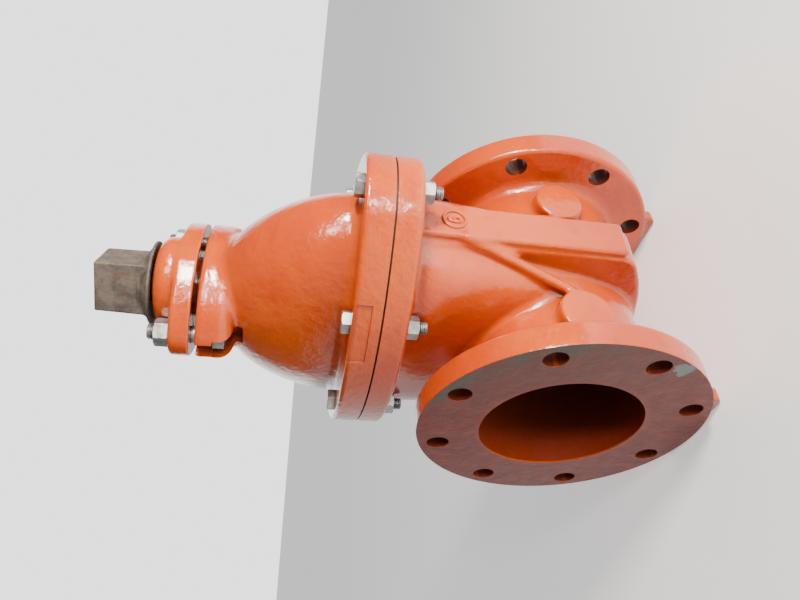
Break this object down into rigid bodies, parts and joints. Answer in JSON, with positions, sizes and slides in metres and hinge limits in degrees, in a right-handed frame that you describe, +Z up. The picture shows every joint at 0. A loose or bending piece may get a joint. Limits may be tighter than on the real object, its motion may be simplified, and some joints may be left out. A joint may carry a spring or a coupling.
{
  "type": "flanged gate valve",
  "caption": "Flanged gate valve with an oval bolted bonnet, a stuffing box plate and a square operating nut that turns the stem to raise a rubber-faced wedge.",
  "frame": {"origin": "where the axis of the waterway crosses the axis of the stem", "axes": "+X along the waterway towards one end flange, +Z up the stem towards the operating nut, +Y across both; the closed valve stands on the feet under its end flanges"},
  "size_m": [0.2666, 0.3552, 0.5933],
  "materials": {
    "epoxy_paint": "glossy orange-red fusion-bonded epoxy over an iron casting, thinner and dull on the machined flange faces",
    "bare_iron": "unpainted casting, dark with brown rust",
    "zinc_steel": "zinc plated, dull and slightly stained",
    "bronze": "machined bronze",
    "rubber": "matt black rubber",
    "nylon": "smooth off-white plastic"
  },
  "bodies": {
    "valve_body": {"body": "epoxy_paint", "bonnet": "epoxy_paint", "bonnet_gasket": "rubber", "bonnet_bolts": "zinc_steel", "bonnet_nuts": "zinc_steel", "stuffing_box": "epoxy_paint", "stuffing_box_seal": "rubber", "stuffing_box_bolts": "zinc_steel", "stuffing_box_nuts": "zinc_steel", "dirt_seal": "rubber", "thrust_washer_lower": "nylon", "thrust_washer_upper": "nylon"},
    "stem": {"stem": "bronze", "stem_o_ring_lower": "rubber", "stem_o_ring_middle": "rubber", "stem_o_ring_upper": "rubber", "wrench_nut": "bare_iron", "wrench_nut_washer": "zinc_steel", "wrench_nut_screw": "zinc_steel"},
    "wedge": {"wedge_core": "bare_iron", "wedge_rubber": "rubber", "stem_nut": "bronze", "guide_cap_left": "nylon", "guide_cap_right": "nylon"}
  },
  "joints": [
    {"name": "stem_turn", "type": "hinge", "parent": "valve_body", "child": "stem", "pos_m": [0, 0, 0], "axis": [0, 0, 1], "range_deg": [0, 7200]},
    {"name": "wedge_lift", "type": "slide", "parent": "valve_body", "child": "wedge", "axis": [0, 0, 1], "range_m": [0, 0.1693]}
  ],
  "couplings": [
    {"joint": "stem_turn", "follows": "wedge_lift", "rad_per_m": 742.11}
  ]
}
